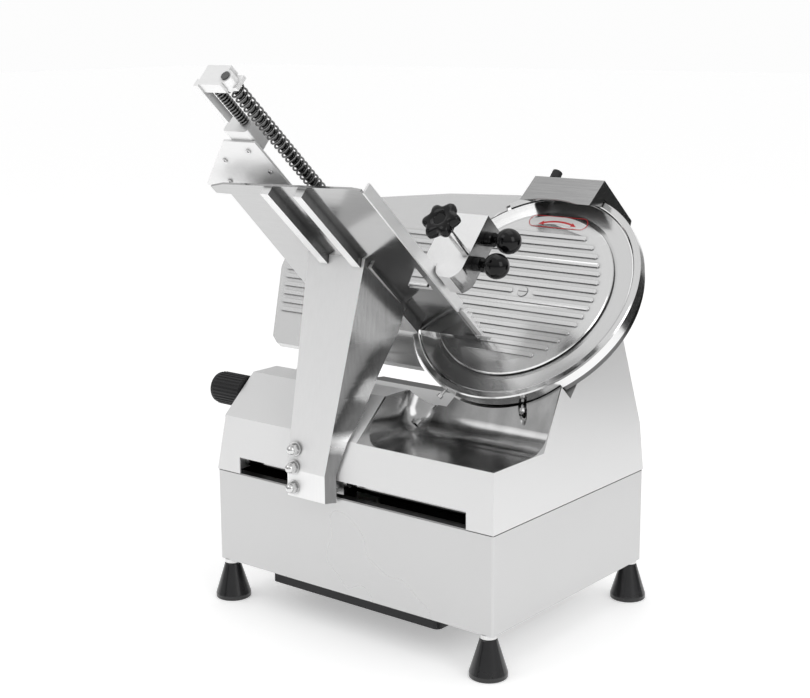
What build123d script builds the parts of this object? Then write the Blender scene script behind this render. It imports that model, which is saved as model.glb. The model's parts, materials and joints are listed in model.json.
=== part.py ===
from build123d import *
from math import asin, atan2, ceil, cos, degrees, hypot, pi, radians, sin, sqrt
import os

# Automatic gravity-feed slicer. Millimetres, +Z up, +X along the carriage travel,
# +Y away from the carriage. The origin is on the floor under the middle of the casing.
os.makedirs("parts", exist_ok=True)

# Casing
BASE_LENGTH = 458.0
BASE_DEPTH = 348.0
LOWER_Z = 55.0
LOWER_HEIGHT = 126.0
SHELF_RISE = 79.0
RIDGE_RISE = 128.0
RIDGE_FRONT = 56.0
RIDGE_BACK = 102.0
REAR_RISE = 69.0
REAR_DRAFT = 12.0
END_DRAFT = 17.0
WALL = 2.5
CORNER = 4.0
SEAM = 1.2

# Head: blade axis, tilt from vertical
BLADE_X = 121.0
BLADE_Y = 42.0
BLADE_Z = 431.0
TILT = 42.5
BLADE_RADIUS = 150.0
COVER_RADIUS = 124.3
RING_RADIUS = 160.4
RING_GAP = 1.2
RING_FROM = -147.0
RING_TO = 122.0
DRUM_RADIUS = 156.0
DRUM_FRONT = -13.5
DRUM_BACK = -38.0
RIB_PITCH = 12.8
SHAFT_RADIUS = 12.5
BEARING_RADIUS = 23.5
BEARING_WIDTH = 12.0
BOSS_BACK = -74.0
TIE_RADIUS = 4.0
RUNNING_FIT = 0.05
CLEAR = 0.3

# Tower behind the blade
TOWER_X = 64.0
TOWER_SLOPE = 36.0
TOWER_TOP = 412.0
WALL_LEAN = 0.494
REAR_LEAN = 0.403
SCOOP_X = 22.0
SCOOP_FOOT_Y = -71.0
SCOOP_ROUND = 40.0
SCOOP_END_ROUND = 32.0

# Blade drive
MOTOR_A = 20.0
MOTOR_B = -95.0
MOTOR_RADIUS = 45.0
MOTOR_LENGTH = 118.0
BLADE_PULLEY = 54.0
MOTOR_PULLEY = 20.0
BELT_WIDTH = 12.0
BELT_THICK = 3.0
BELT_MID = -24.0

# Carriage
SLOT_X0 = -187.0
SLOT_X1 = 189.0
SLOT_HEIGHT = 24.0
SHAFT_Y = -140.0
SHAFT_R = 10.0
BAR_Y = -84.0
BAR_SIZE = 14.0
RAIL_Z = 194.0
BLOCK_X = -52.0
BLOCK_LENGTH = 64.0
ARM_GAP = 4.0
BRACKET_THICK = 8.0
ARM_THICK = 5.0
ARM_X0 = -84.0
ARM_X1 = -20.0
ARM_TOP_X0 = -89.0
ARM_TOP_X1 = 6.0
ARM_FLARE_X = 12.0
ARM_BEND_Z = 213.0
NUT_X = -72.0
NUT_Z = (190.0, 216.5, 240.0)

# Meat table, in the head's frame: across A, off the blade axis B, out from the blade C
TABLE_B = -80.0
TABLE_THICK = 3.0
TABLE_A0 = -268.0
TABLE_A1 = -30.0
TABLE_C0 = 6.0
TABLE_C1 = 306.0
WALL_HEIGHT = 15.0
WALL_END_C = 68.0
RAIL_A = (-188.0, -134.0)
RAIL_WIDTH = 13.5
RAIL_DROP = 10.5
RAIL_C0 = 164.0

# Product pusher
ROD_A = -155.0
ROD_B = -42.0
ROD_RADIUS = 5.5
ROD_C0 = 26.0
ROD_C1 = 452.0
SPRING_RADIUS = 8.6
SPRING_WIRE = 1.3
SPRING_PITCH = 8.4
STEM_A = -188.0
STEM_B = -42.0
STEM_RADIUS = 6.5
PLATE_B = -60.0
PLATE_C0 = 250.0
PLATE_C1 = 368.0

# Product clamp
CLAMP_A1 = 13.0
CLAMP_C0 = 112.0
CLAMP_C1 = 146.0
CLAMP_TOP_B = 16.0
CLAMP_NOSE_B = -78.0
STAR_A = 8.0
STAR_B = -42.0
STAR_RISE = 58.0

# Gauge plate and its knob
GAUGE_GAP = 6.0
GAUGE_THICK = 10.0
GAUGE_RIB = 13.8
KNOB_Y = -125.0
KNOB_Z = 281.0
KNOB_RADIUS = 22.5
KNOB_LENGTH = 56.0

# Feet
FOOT_X = 216.0
FOOT_Y = 164.0
FOOT_TOP_RADIUS = 11.0
FOOT_RADIUS = 24.0

UPPER_Z = LOWER_Z + LOWER_HEIGHT
SHELF_Z = UPPER_Z + SHELF_RISE
X1 = BASE_LENGTH / 2
Y1 = BASE_DEPTH / 2
T = radians(TILT)
HEAD = Plane(origin=(BLADE_X, BLADE_Y, BLADE_Z), x_dir=(1, 0, 0), z_dir=(0, -cos(T), sin(T)))
ARM_Y = -Y1 - ARM_GAP - BRACKET_THICK - ARM_THICK
RIM = 16.0
GLAND_X = -120.0
GLAND_Z = LOWER_Z + 40
GLAND_R = 8.0
STUD_R = 5.0
SCREW_R = 2.5
HATCH_X = (-100.0, 110.0)
HATCH_Y = (-120.0, 130.0)
PANEL_Y = (-60.0, 20.0)
PANEL_Z = (LOWER_Z + 40, LOWER_Z + 92)
GAUGE_FOOT_A = -310.0
GAUGE_FOOT_X = BLADE_X + GAUGE_FOOT_A
PAN_X = (-173.0, 140.0)
PAN_Y = (-Y1 + 14, Y1 - 14)
PAN_DROP = 26.0
THUMB_ANGLES = (-68.0, -112.0)
THUMB_C = -18.0
SPINDLE_R = 6.0
HOUSING_BOLTS = (-150.0, -118.0, -38.0, -20.0)
BOLT_RADIUS = 128.0
RING_BOLTS = (-130.0, -50.0, 10.0, 60.0)
GAUGE_CLEAR = 1.2
GUIDE_LENGTH = 24.0
GUIDE_B = -190.0
GUIDE_RADIUS = 8.0
BLOCK_X0 = BLOCK_X - BLOCK_LENGTH / 2
BLOCK_X1 = BLOCK_X + BLOCK_LENGTH / 2
RAIL_INSET = 13.0
BOLT_X = (BLOCK_X - 24, BLOCK_X + 24)
ARM_TOP_C = 170.0
ARM_FOOT_Z = UPPER_Z - 4
LEVER_B = (-6.0, -43.0)
HOOD_A = (-50.0, 58.0)
HOOD_KNOB_A = -27.0
HOOD_KNOB_C = 10.0
STONE_A = (-25.0, 31.0)
STONE_B = 143.0
STONE_R = 18.0
STONE_BORE = 3.0
PUSHER_SHEET = 3.0
TOOTH_PITCH = 12.0
TOOTH_DEPTH = 5.0
PIN_A = 3.0
PIN_B = 96.0
PIN_C = -50.0
PIN_R = 6.0
DRIVE_Z = LOWER_Z + 92
DRIVE_PULLEY = 22.0
DRIVE_X = (-150.0, 150.0)
DRIVE_Y = -40.0
BUTTON_R = 11.0
BUTTON_Y = (-40.0, 0.0)
BUTTON_Z = (PANEL_Z[0] + PANEL_Z[1]) / 2
PANEL_PROUD = 2.0


def on_head(shape):
    return HEAD.location * shape


def to_world(a, b, c):
    y = BLADE_Y + b * sin(T) - c * cos(T)
    z = BLADE_Z + b * cos(T) + c * sin(T)
    return BLADE_X + a, y, z


# the arm meets the table here
ARM_TOP_Y, ARM_TOP_Z = to_world(0, TABLE_B, ARM_TOP_C)[1:]
ARM_LEVELS = (
    (ARM_FOOT_Z, -Y1 - ARM_GAP), (ARM_BEND_Z, -Y1 - ARM_GAP), (SHELF_Z, -Y1 - ARM_GAP),
    (292.0, -152.0), (312.0, -139.0), (330.0, -126.0), (353.0, -108.0), (380.0, -84.0),
    (395.0, -74.0), (440.0, -60.0), (ARM_TOP_Z + 6, -60.0),
)


def block(x0, x1, y0, y1, z0, z1):
    middle = Pos((x0 + x1) / 2, (y0 + y1) / 2, (z0 + z1) / 2)
    return middle * Box(abs(x1 - x0), abs(y1 - y0), abs(z1 - z0))


def rod_z(x, y, z0, z1, r):
    return Pos(x, y, (z0 + z1) / 2) * Cylinder(r, abs(z1 - z0))


def rod_x(y, z, x0, x1, r):
    return Pos((x0 + x1) / 2, y, z) * Rot(0, 90, 0) * Cylinder(r, abs(x1 - x0))


def rod_y(x, z, y0, y1, r):
    return Pos(x, (y0 + y1) / 2, z) * Rot(90, 0, 0) * Cylinder(r, abs(y1 - y0))


def prism_x(points, x0, x1):
    face = make_face(Polyline([(x0, y, z) for y, z in points], close=True))
    return extrude(face, amount=x1 - x0, dir=(1, 0, 0))


def prism_y(points, y0, y1):
    face = make_face(Polyline([(x, y0, z) for x, z in points], close=True))
    return extrude(face, amount=y1 - y0, dir=(0, 1, 0))


def prism_z(points, z0, z1):
    face = make_face(Polyline([(x, y, z0) for x, y in points], close=True))
    return extrude(face, amount=z1 - z0, dir=(0, 0, 1))


def turned(points):
    """A ring or disc about the local Z axis from (radius, height) points."""
    face = make_face(Polyline([(r, 0, z) for r, z in points], close=True))
    return revolve(face, axis=Axis.Z, revolution_arc=360)


def inset(points, w):
    """The outline moved inward by w, for corners listed anticlockwise."""
    moved = []
    n = len(points)
    for i in range(n):
        (x0, y0), (x1, y1), (x2, y2) = points[i - 1], points[i], points[(i + 1) % n]
        ux, uy = x1 - x0, y1 - y0
        vx, vy = x2 - x1, y2 - y1
        lu, lv = hypot(ux, uy), hypot(vx, vy)
        ux, uy, vx, vy = ux / lu, uy / lu, vx / lv, vy / lv
        cross = ux * vy - uy * vx
        k = w * (1 - ux * vx - uy * vy) / cross if abs(cross) > 1e-9 else 0.0
        moved.append((x1 - uy * w - ux * k, y1 + ux * w - uy * k))
    return moved


def write(name, *shapes):
    """Writes a node, with the origin moved under the front right foot's centre."""
    origin = Pos(-FOOT_X, FOOT_Y, 0)
    solids = [origin * s for shape in shapes for s in shape.solids()]
    whole = solids[0] if len(solids) == 1 else Compound(children=solids)
    whole.label = name
    export_step(whole, f"parts/{name}.step")


# ---------------------------------------------------------------- casing


def ridge_profile(bottom):
    return [
        (-Y1, bottom),
        (Y1, bottom),
        (Y1 - REAR_DRAFT, UPPER_Z + REAR_RISE),
        (-Y1 + RIDGE_BACK + 34, SHELF_Z + 12),
        (-Y1 + RIDGE_BACK, UPPER_Z + RIDGE_RISE),
        (-Y1 + RIDGE_FRONT, UPPER_Z + RIDGE_RISE),
        (-Y1, SHELF_Z),
    ]


def tower_profile(bottom):
    rise = UPPER_Z + REAR_RISE
    rear_y = Y1 - REAR_DRAFT
    front_top = SCOOP_FOOT_Y + (TOWER_TOP - SHELF_Z) * WALL_LEAN
    return [
        (SCOOP_FOOT_Y - 20, bottom),
        (rear_y + REAR_DRAFT * 0.6, bottom),
        (rear_y, rise),
        (rear_y - (TOWER_TOP - rise) * REAR_LEAN, TOWER_TOP),
        (front_top - 30, TOWER_TOP),
        (SCOOP_FOOT_Y - 20, SHELF_Z),
    ]


def scoop(w):
    """The polished hollow under the blade, w larger all round."""
    lean_z = TOWER_TOP + 60
    points = [
        (-Y1 - 60, SHELF_Z),
        (SCOOP_FOOT_Y, SHELF_Z),
        (SCOOP_FOOT_Y + (lean_z - SHELF_Z) * WALL_LEAN, lean_z),
        (-Y1 - 60, lean_z),
    ]
    solid = prism_x(inset(points, -w), SCOOP_X - w, X1 + 60)
    foot = [e for e in solid.edges() if abs(e.length - (X1 + 60 - SCOOP_X + w)) < 0.01]
    foot = sorted(foot, key=lambda e: (e.center().Z, -e.center().Y))[:1]
    solid = fillet(foot, SCOOP_ROUND + w)
    end = solid.faces().sort_by(Axis.X)[0]
    low = [e for e in end.edges() if e.center().Z < lean_z - 1 and e.center().Y > -Y1 - 59]
    return fillet(low, SCOOP_END_ROUND + w)


def end_profile(w):
    """The front outline that drafts the left end and rounds the ridge."""
    x0 = -X1 + w
    return [
        (x0, UPPER_Z - 20),
        (X1 - w, UPPER_Z - 20),
        (X1 - w, TOWER_TOP + 20),
        (x0 + END_DRAFT, TOWER_TOP + 20),
        (x0 + END_DRAFT, SHELF_Z - 4),
        (x0, UPPER_Z + 2),
    ]


def tower_side(w):
    low = SHELF_Z + 20
    x0 = TOWER_X + w
    return [
        (x0, UPPER_Z - 20),
        (X1 - w, UPPER_Z - 20),
        (X1 - w, TOWER_TOP + 20),
        (x0 + TOWER_SLOPE, TOWER_TOP + 20),
        (x0 + TOWER_SLOPE, low + 60),
        (x0, low),
    ]


def casing_form(w, bottom):
    """The upper casing's outer shape at w = 0, or its hollow at w = WALL."""
    ridge = prism_x(inset(ridge_profile(bottom), w), -X1 + w, X1 - w)
    tower = prism_x(inset(tower_profile(bottom), w), TOWER_X + w, X1 - w)
    tower = tower & prism_y(tower_side(w), -Y1 - 5, Y1 + 5)
    form = ridge + tower - scoop(w)
    form = form & prism_y(end_profile(w), -Y1 - 5, Y1 + 5)
    form -= on_head(rod_z(0, 0, DRUM_BACK - w, 120, RING_RADIUS + 1.2 + w))
    return form


def upper_housing():
    outer = casing_form(0, UPPER_Z + SEAM)
    hollow = casing_form(WALL, UPPER_Z - 2 * WALL)
    shell = outer - hollow
    z0 = UPPER_Z + SEAM
    slot = block(SLOT_X0, SLOT_X1, -Y1 - 5, -Y1 + 12, z0 - 5, UPPER_Z + SLOT_HEIGHT)
    shell -= slot
    shell -= on_head(rod_z(MOTOR_A, MOTOR_B, DRUM_BACK - 20, DRUM_BACK + 20, MOTOR_RADIUS + 3))
    shell -= on_head(rod_z(0, 0, BOSS_BACK - 60, DRUM_BACK + 20, BEARING_RADIUS + 8.5))
    shell -= rod_x(KNOB_Y, KNOB_Z, -X1 - 5, -X1 + 40, SPINDLE_R + CLEAR)
    for angle in THUMB_ANGLES:
        shell -= on_head(Rot(0, 0, angle) * rod_x(0, THUMB_C, RING_RADIUS - 5, RING_RADIUS + 60, 6))
    for angle in HOUSING_BOLTS:
        a, b = polar(BOLT_RADIUS, angle)
        shell -= on_head(rod_z(a, b, DRUM_BACK - 10, DRUM_BACK + 1, 3 + CLEAR))
    shell -= gauge_window()
    parts = shell.solids().sort_by(SortBy.VOLUME)
    return parts[-1]


def gauge_window():
    """The opening in the ridge's back slope that the gauge plate's foot passes through."""
    x0, x1 = GAUGE_FOOT_X - 16, GAUGE_FOOT_X + 16
    return block(x0, x1, -62, 4, SHELF_Z - 16, TOWER_TOP)


def seam_lip():
    """The rim set back from the faces, which the upper casing stands on."""
    outer = block(-X1 + 1.5, X1 - 1.5, -Y1 + 1.5, Y1 - 1.5, UPPER_Z - 1, UPPER_Z + SEAM)
    return outer - block(-X1 + RIM, X1 - RIM, -Y1 + RIM, Y1 - RIM, UPPER_Z - 2, UPPER_Z + SEAM + 1)


def lower_housing():
    outer = block(-X1, X1, -Y1, Y1, LOWER_Z, UPPER_Z)
    outer = fillet(outer.edges().filter_by(Axis.Z), CORNER)
    inner = block(-X1 + WALL, X1 - WALL, -Y1 + WALL, Y1 - WALL, LOWER_Z + WALL, UPPER_Z - WALL)
    shell = outer + seam_lip() - inner
    shell -= block(-X1 + RIM, X1 - RIM, -Y1 + RIM, Y1 - RIM, UPPER_Z - 10, UPPER_Z + 10)
    shell -= block(*HATCH_X, *HATCH_Y, LOWER_Z - 5, LOWER_Z + 10)
    holes = rod_y(GLAND_X, GLAND_Z, Y1 - 10, Y1 + 5, GLAND_R + CLEAR)
    holes += block(-X1 - 5, -X1 + 5, *PANEL_Y, *PANEL_Z)
    for x, y in foot_places():
        holes += rod_z(x, y, LOWER_Z - 5, LOWER_Z + 10, STUD_R + CLEAR)
    for x, y in pan_places():
        holes += rod_z(x, y, LOWER_Z - 5, LOWER_Z + 10, SCREW_R + CLEAR)
    return shell - holes


def foot_places():
    return [(sx * (X1 - 13), sy * (Y1 - 10)) for sx in (-1, 1) for sy in (-1, 1)]


def pan_places():
    y0, y1 = PAN_Y[0] + 7, PAN_Y[1] - 7
    xs = (PAN_X[0] + 20, PAN_X[1] - 20)
    return [(x, y) for x in xs for y in (y0, y1)]


def bottom_pan():
    y0, y1 = PAN_Y
    x0, x1 = PAN_X
    top = LOWER_Z
    rim = block(x0, x1, y0, y1, top - 2, top)
    tray = block(x0 + 14, x1 - 14, y0 + 14, y1 - 14, top - PAN_DROP, top)
    tray = fillet(tray.edges().filter_by(Axis.Z), 8)
    pan = rim + tray - block(x0 + 16, x1 - 16, y0 + 16, y1 - 16, top - PAN_DROP + 2, top + 1)
    for x, y in pan_places():
        pan -= rod_z(x, y, top - 10, top + 1, 2.5 + CLEAR)
    return pan


def pan_screws():
    return [
        rod_z(x, y, LOWER_Z - 6, LOWER_Z - 2, 4.5) + rod_z(x, y, LOWER_Z - 6, LOWER_Z + 8, 2.5)
        for x, y in pan_places()
    ]


def rubber_foot():
    z1 = LOWER_Z - 5
    foot = turned([
        (0, 0), (FOOT_RADIUS - 1, 0), (FOOT_RADIUS, 1), (FOOT_RADIUS, 6),
        (FOOT_TOP_RADIUS, z1 - 2), (FOOT_TOP_RADIUS - 2, z1), (0, z1),
    ])
    return foot - rod_z(0, 0, z1 - 20, z1 + 1, STUD_R)


def foot_stud():
    """The threaded stud, its nut inside the casing and its collar under it."""
    stud = rod_z(0, 0, LOWER_Z - 25, LOWER_Z + 16, STUD_R)
    nut = extrude(RegularPolygon(7.2, 6), amount=6)
    collar = rod_z(0, 0, LOWER_Z - 5, LOWER_Z, FOOT_TOP_RADIUS)
    return stud + Pos(0, 0, LOWER_Z + WALL) * nut + collar


# ---------------------------------------------------------------- blade head


def blade_housing():
    r = DRUM_RADIUS
    cup = turned([
        (0, DRUM_BACK), (r - 12, DRUM_BACK), (r, DRUM_BACK + 12), (r, DRUM_FRONT),
        (r - 5, DRUM_FRONT), (r - 5, DRUM_BACK + 13), (r - 14, DRUM_BACK + 4), (0, DRUM_BACK + 4),
    ])
    cup += rod_z(0, 0, BOSS_BACK, DRUM_BACK + 4, BEARING_RADIUS + 5.5)
    cup -= rod_z(0, 0, BOSS_BACK - 1, DRUM_BACK + 5, BEARING_RADIUS)
    collar = rod_z(0, 0, -58, -52, BEARING_RADIUS + 1) - rod_z(0, 0, -59, -51, BEARING_RADIUS - 4)
    cup += collar
    cup -= rod_z(MOTOR_A, MOTOR_B, DRUM_BACK - 1, DRUM_BACK + 5, 14)
    cup += block(PIN_A - 12, PIN_A + 12, PIN_B, PIN_B + 20, PIN_C - 12, DRUM_BACK + 1)
    cup -= rod_b(PIN_A, PIN_C, PIN_B - 5, PIN_B + 40, PIN_R)
    for angle in HOUSING_BOLTS:
        a, b = polar(BOLT_RADIUS, angle)
        cup -= rod_z(a, b, DRUM_BACK - 1, DRUM_BACK + 5, 3 + CLEAR)
    for angle in RING_BOLTS:
        a, b = polar(r - 2.5, angle)
        cup -= rod_z(a, b, DRUM_FRONT - 9, DRUM_FRONT + 1, 1.6)
    for angle in THUMB_ANGLES:
        cup -= Rot(0, 0, angle) * rod_x(0, THUMB_C, r - 6, r + 1, 2.1)
    return cup


def polar(r, angle):
    return r * cos(radians(angle)), r * sin(radians(angle))


def housing_bolts():
    bolts = []
    for angle in HOUSING_BOLTS:
        a, b = polar(BOLT_RADIUS, angle)
        head = rod_z(a, b, DRUM_BACK + 4, DRUM_BACK + 9, 5)
        bolts.append(on_head(head + rod_z(a, b, DRUM_BACK - 1, DRUM_BACK + 9, 3)))
    return bolts


def ring_screws():
    """Four screws into the drum's rim and two thumb screws under the ring."""
    screws = []
    for angle in RING_BOLTS:
        a, b = polar(DRUM_RADIUS - 2.5, angle)
        screws.append(on_head(rod_z(a, b, DRUM_FRONT - 8, DRUM_FRONT + 3.5, 1.5)))
    for angle in THUMB_ANGLES:
        pin = rod_x(0, THUMB_C, DRUM_RADIUS - 3, RING_RADIUS + 9, 2)
        pin += rod_x(0, THUMB_C, RING_RADIUS + 8, RING_RADIUS + 13, 4)
        screws.append(on_head(Rot(0, 0, angle) * pin))
    return screws


def sector(r, z0, z1, start, stop):
    """A wedge of a disc between two angles in degrees."""
    steps = ceil((stop - start) / 30)
    points = [(0.0, 0.0)]
    for i in range(steps + 1):
        angle = radians(start + (stop - start) * i / steps)
        points.append((2 * r * cos(angle), 2 * r * sin(angle)))
    return prism_z(points, z0, z1)


def ring_guard():
    r0 = BLADE_RADIUS + RING_GAP
    r1 = RING_RADIUS
    c0 = DRUM_FRONT
    ring = turned([
        (r0 - 13, c0), (r1, c0), (r1, 0.8), (r1 - 1.6, 2.2), (r0 + 1.2, 2.2),
        (r0, 1.0), (r0, c0 + 4), (r0 - 13, c0 + 4),
    ])
    ring = ring & sector(r1, c0 - 1, 10, RING_FROM, RING_TO)
    for angle in RING_BOLTS:
        a, b = polar(DRUM_RADIUS - 2.5, angle)
        ring -= rod_z(a, b, c0 - 1, c0 + 3.7, 1.6)
    return on_head(ring)


def blade():
    r = BLADE_RADIUS
    disc = turned([
        (20, -7), (r - 30, -7), (r - 1, -1.4), (r, -0.6), (r - 1, -0.2), (r - 10, -1.3),
        (r - 20, -2.6), (20, -2.6),
    ])
    for k in range(4):
        a, b = polar(30, 45 + 90 * k)
        disc -= rod_z(a, b, -8, -2, 2.5 + CLEAR)
    return on_head(disc)


def blade_hub():
    half = BELT_WIDTH / 2 + 1.5
    low, high = BELT_MID - half, BELT_MID + half
    r = BLADE_PULLEY
    hub = turned([
        (SHAFT_RADIUS, low), (r + 1.5, low), (r + 1.5, low + 1.2), (r, low + 1.2),
        (r, high - 1.2), (r + 1.5, high - 1.2), (r + 1.5, high), (38, high), (38, -7),
        (20 - RUNNING_FIT, -7), (20 - RUNNING_FIT, -3), (SHAFT_RADIUS, -3),
    ])
    for k in range(4):
        a, b = polar(30, 45 + 90 * k)
        hub -= rod_z(a, b, -16, -6, 2.5)
    return on_head(hub)


def blade_shaft():
    tube = rod_z(0, 0, BOSS_BACK - 2, -2.9, SHAFT_RADIUS) - rod_z(0, 0, -90, 0, TIE_RADIUS + 0.6)
    tube += rod_z(0, 0, -38, BELT_MID - 7.6, 16) - rod_z(0, 0, -90, 0, TIE_RADIUS + 0.6)
    return on_head(tube)


def blade_screws():
    screws = []
    for k in range(4):
        a, b = polar(30, 45 + 90 * k)
        screws.append(on_head(rod_z(a, b, -15, -2.7, 2.5)))
    return screws


def shaft_bearings():
    rings = []
    for c0 in (DRUM_BACK - 1.5 - BEARING_WIDTH, BOSS_BACK + 0.5):
        outer = rod_z(0, 0, c0, c0 + BEARING_WIDTH, BEARING_RADIUS)
        rings.append(on_head(outer - rod_z(0, 0, c0 - 1, c0 + 30, SHAFT_RADIUS + RUNNING_FIT)))
    return rings


def blade_cover():
    r = COVER_RADIUS
    cover = turned([
        (0, -1.8), (r - 3, -1.8), (r, -0.2), (r - 1.6, 1.6), (0, 1.6),
    ])
    reach = r - 18
    count = int(reach / RIB_PITCH)
    for k in range(-count, count + 1):
        b = k * RIB_PITCH
        if abs(b) > reach - 12:
            continue
        half = sqrt(reach**2 - b**2)
        if k == 0:
            cover += rib(-half, -16, b, 1.6)
            cover += rib(16, half, b, 1.6)
        else:
            cover += rib(-half, half, b, 1.6)
    cover -= rod_z(0, 0, -3, 9, TIE_RADIUS + 0.2)
    cover -= rod_z(0, 0, 0.6, 9, 7.5)
    return on_head(cover)


def rib(a0, a1, b, c, width=5.6, height=1.9):
    r = width / 2
    bar = block(a0 + r, a1 - r, b - r, b + r, c - 0.2, c + height)
    bar += rod_z(a0 + r, b, c - 0.2, c + height, r) + rod_z(a1 - r, b, c - 0.2, c + height, r)
    return bar


def rotation_label():
    """A blank curved badge on the cover's rim."""
    r = COVER_RADIUS
    band = turned([(r - 16, 1.6), (r - 3.6, 1.6), (r - 3.6, 1.9), (r - 16, 1.9)])
    band = band & sector(r, 0, 4, 66, 110)
    top = COVER_RADIUS - 18
    return on_head(band - block(-top, top, 0, top - 4, 0, 4))


def cover_tie_rod():
    """The long screw that clamps the cover, with the grip moulded on its rear end."""
    r = 17.0
    grip = turned([(0, -98), (r - 2, -98), (r, -96), (r, -84), (r - 4, -82), (9, -79), (0, -79)])
    for k in range(8):
        a, b = polar(r + 2.5, 45 * k)
        grip -= rod_z(a, b, -110, -60, 5)
    rod = rod_z(0, 0, -90, 1.2, TIE_RADIUS) + rod_z(0, 0, 0.7, 2.6, 7) + grip
    return on_head(rod - block(-8, 8, -0.8, 0.8, 1.8, 4))


def blade_motor():
    c1 = DRUM_BACK
    c0 = c1 - MOTOR_LENGTH
    r = MOTOR_RADIUS
    body = turned([
        (0, c0), (r - 8, c0), (r - 4, c0 + 4), (r - 4, c1 - 12), (r, c1 - 12), (r, c1), (0, c1),
    ])
    for k in range(20):
        fin = Rot(0, 0, 18 * k) * block(r - 5, r - 0.5, -1, 1, c0 + 14, c1 - 20)
        body += fin
    body -= rod_z(0, 0, c1 - 10, c1 + 1, 8 + RUNNING_FIT)
    return on_head(Pos(MOTOR_A, MOTOR_B, 0) * body)


def motor_pulley():
    half = BELT_WIDTH / 2 + 1
    low, high = BELT_MID - half, BELT_MID + half
    r = MOTOR_PULLEY
    wheel = turned([
        (0, DRUM_BACK - 9), (8, DRUM_BACK - 9), (8, low), (r + 1.2, low), (r + 1.2, low + 0.8),
        (r, low + 0.8), (r, high - 0.8), (r + 1.2, high - 0.8), (r + 1.2, high), (0, high),
    ])
    return on_head(Pos(MOTOR_A, MOTOR_B, 0) * wheel)


def belt_loop(p0, r0, p1, r1, thick):
    """The outline solid of an open belt round two pulleys, width along Z from 0 to 1."""
    (x0, y0), (x1, y1) = p0, p1
    gap = hypot(x1 - x0, y1 - y0)
    heading = atan2(y1 - y0, x1 - x0)
    side = asin((r0 - r1) / gap)

    def hull(extra):
        corners = []
        for sign in (1, -1):
            angle = heading + sign * (pi / 2 - side)
            ends = [(x0, y0, r0 + extra), (x1, y1, r1 + extra)]
            pair = [(x + r * cos(angle), y + r * sin(angle)) for x, y, r in ends]
            corners += pair if sign == 1 else pair[::-1]
        return prism_z(corners, 0, 1) + rod_z(x0, y0, 0, 1, r0 + extra) + rod_z(x1, y1, 0, 1, r1 + extra)

    return hull(thick + 0.15) - hull(0.15)


def stretched(loop, z0, z1):
    """A unit-thick loop made as wide as z0 to z1."""
    face = loop.faces().sort_by(Axis.Z)[0]
    return Pos(0, 0, z0) * extrude(face, amount=z1 - z0, dir=(0, 0, 1))


def blade_belt():
    loop = belt_loop((0, 0), BLADE_PULLEY, (MOTOR_A, MOTOR_B), MOTOR_PULLEY, BELT_THICK)
    return on_head(stretched(loop, BELT_MID - BELT_WIDTH / 2, BELT_MID + BELT_WIDTH / 2))


# ---------------------------------------------------------------- gauge plate


def gauge_outline():
    return [
        (-362, -128), (-60, -128), (-60, 152), (-81, 155.5), (-197, 149), (-330, 131),
        (-396, 108), (-436, 40), (-429, -4), (-376, -118),
    ]


def gauge_plate():
    front = -GAUGE_GAP
    back = front - GAUGE_THICK
    plate = prism_z(gauge_outline(), front - 4, front)
    rim = prism_z(gauge_outline(), back, front - 3)
    rim -= prism_z(inset(gauge_outline(), 4), back - 1, front - 4)
    plate += rim
    left = {k: -424 - 0.43 * (k * GAUGE_RIB) for k in range(-5, 7)}
    for k, a0 in left.items():
        b = k * GAUGE_RIB - 4
        start = max(a0, -424) + 4 if b > 0 else a0 + 8
        plate += rib(start, -60, b, front, 6, 2)
    reach = DRUM_RADIUS + GAUGE_CLEAR
    cut = rod_z(0, 0, back - 5, 20, reach)
    guard = rod_z(0, 0, back - 5, 20, RING_RADIUS + 4)
    cut += guard & sector(RING_RADIUS + 4, back - 5, 20, RING_FROM - 3, RING_TO + 3)
    plate -= cut
    plate += block(GAUGE_FOOT_A - 12, GAUGE_FOOT_A + 12, -128, -96, back - 8, back + 3)
    return on_head(plate.solids().sort_by(SortBy.VOLUME)[-1])


def gauge_bracket():
    """The foot that carries the gauge plate on its guide inside the ridge."""
    c0 = -GAUGE_GAP - GAUGE_THICK - 8
    half = 12.0
    arm = block(GAUGE_FOOT_A - half, GAUGE_FOOT_A + half, GUIDE_B - half, -96, c0 - 8, c0)
    tube = rod_z(GAUGE_FOOT_A, GUIDE_B, c0 - 8 - GUIDE_LENGTH, c0, GUIDE_RADIUS + 4)
    bore = rod_z(GAUGE_FOOT_A, GUIDE_B, c0 - 90, c0 + 30, GUIDE_RADIUS + RUNNING_FIT)
    return on_head(arm + tube - bore)


def gauge_guide():
    """The guide rod, with the hanger that holds it under the ridge."""
    c0 = -GAUGE_GAP - GAUGE_THICK - 8
    rod = rod_z(GAUGE_FOOT_A, GUIDE_B, c0 - 8 - GUIDE_LENGTH - 22, c0 + 16, GUIDE_RADIUS)
    x, y, z = to_world(GAUGE_FOOT_A, GUIDE_B, c0 + 16)
    hanger = block(x - 8, x + 8, y - 10, y + 2, z - 6, UPPER_Z + RIDGE_RISE - WALL)
    return on_head(rod) + hanger


def thickness_knob():
    """The ribbed grip and the spindle moulded into it."""
    x1 = -X1 + END_DRAFT - 2
    x0 = x1 - KNOB_LENGTH
    r = KNOB_RADIUS
    knob = rod_x(KNOB_Y, KNOB_Z, x0, x1, r - 1.2)
    knob = fillet(knob.edges().sort_by(Axis.X)[:1], 4)
    for k in range(30):
        angle = radians(12 * k)
        y, z = KNOB_Y + (r - 1.2) * cos(angle), KNOB_Z + (r - 1.2) * sin(angle)
        knob += rod_x(y, z, x0 + 7, x1 - 1, 1.2)
    knob += rod_x(KNOB_Y, KNOB_Z, x1 - 1, x1 + 36, SPINDLE_R)
    return knob + rod_x(KNOB_Y, KNOB_Z, x1 + 16, x1 + 22, 2 * SPINDLE_R)


# ---------------------------------------------------------------- carriage


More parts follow.
